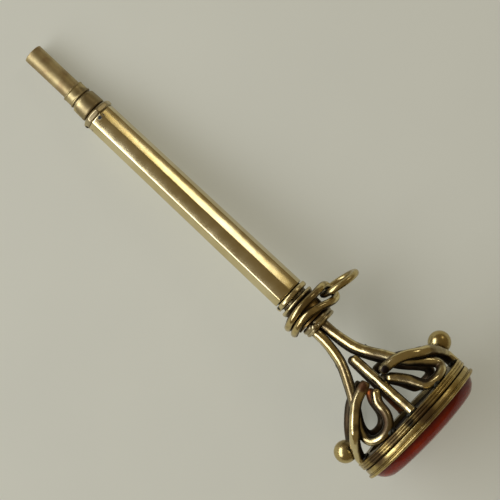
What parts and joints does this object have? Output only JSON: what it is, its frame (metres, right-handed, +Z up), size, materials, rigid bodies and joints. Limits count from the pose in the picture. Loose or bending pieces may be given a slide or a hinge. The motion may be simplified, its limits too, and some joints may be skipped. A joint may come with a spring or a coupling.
{
  "type": "pocket watch key",
  "caption": "Gilt pocket watch key with a telescoping square-socket pipe in an octagonal barrel, a swivel bail and a carnelian fob seal on a wire scroll cage.",
  "frame": {"origin": "middle of the key's bounding box in X and Y, on the table that it lies on", "axes": "+X along the key towards the seal, +Y towards the bail, +Z up from the table"},
  "size_m": [0.0722, 0.0216, 0.0157],
  "materials": {
    "gold": "worn polished pale gold over gilt brass",
    "old_gold": "dull unpolished gilt brass, inside surfaces",
    "steel": "drawn steel",
    "carnelian": "polished translucent red-brown carnelian"
  },
  "bodies": {
    "seal_handle": {"barrel": "gold", "mouth_collar": "gold", "guide_bush": "old_gold", "bush_pins": "steel", "lower_ring": "gold", "waist_cone": "gold", "spindle": "old_gold", "neck_collar": "gold", "neck_rivet": "gold", "stem_front_right": "gold", "stem_front_left": "gold", "stem_back_right": "gold", "stem_back_left": "gold", "brace_front_right": "gold", "brace_front_left": "gold", "brace_back_right": "gold", "brace_back_left": "gold", "pillar_front": "gold", "pillar_back": "gold", "ball_right": "gold", "ball_left": "gold", "gallery": "gold", "base_plate": "old_gold", "bezel": "gold", "seal_stone": "carnelian"},
    "key_slide": {"key_pipe": "gold", "pipe_ring": "gold", "ferrule": "gold", "slide_rod": "steel", "slide_piston": "gold", "piston_pin": "steel", "friction_ring": "steel"},
    "swivel": {"swivel_spool": "old_gold", "swivel_loop": "gold"},
    "bail": {"bail_ring": "gold"}
  },
  "joints": [
    {"name": "pipe_slide", "type": "slide", "parent": "seal_handle", "child": "key_slide", "axis": [-0.9957, 0, -0.0926], "range_m": [0, 0.014]},
    {"name": "loop_swivel", "type": "hinge", "parent": "seal_handle", "child": "swivel", "pos_m": [0.01323, 0.0005, 0.00592], "axis": [0.9957, 0, 0.0926], "continuous": true},
    {"name": "bail_swing", "type": "hinge", "parent": "swivel", "child": "bail", "pos_m": [0.01337, 0.00462, 0.00593], "axis": [0.9771, -0.2079, -0.0458], "range_deg": [-40, 40]}
  ]
}
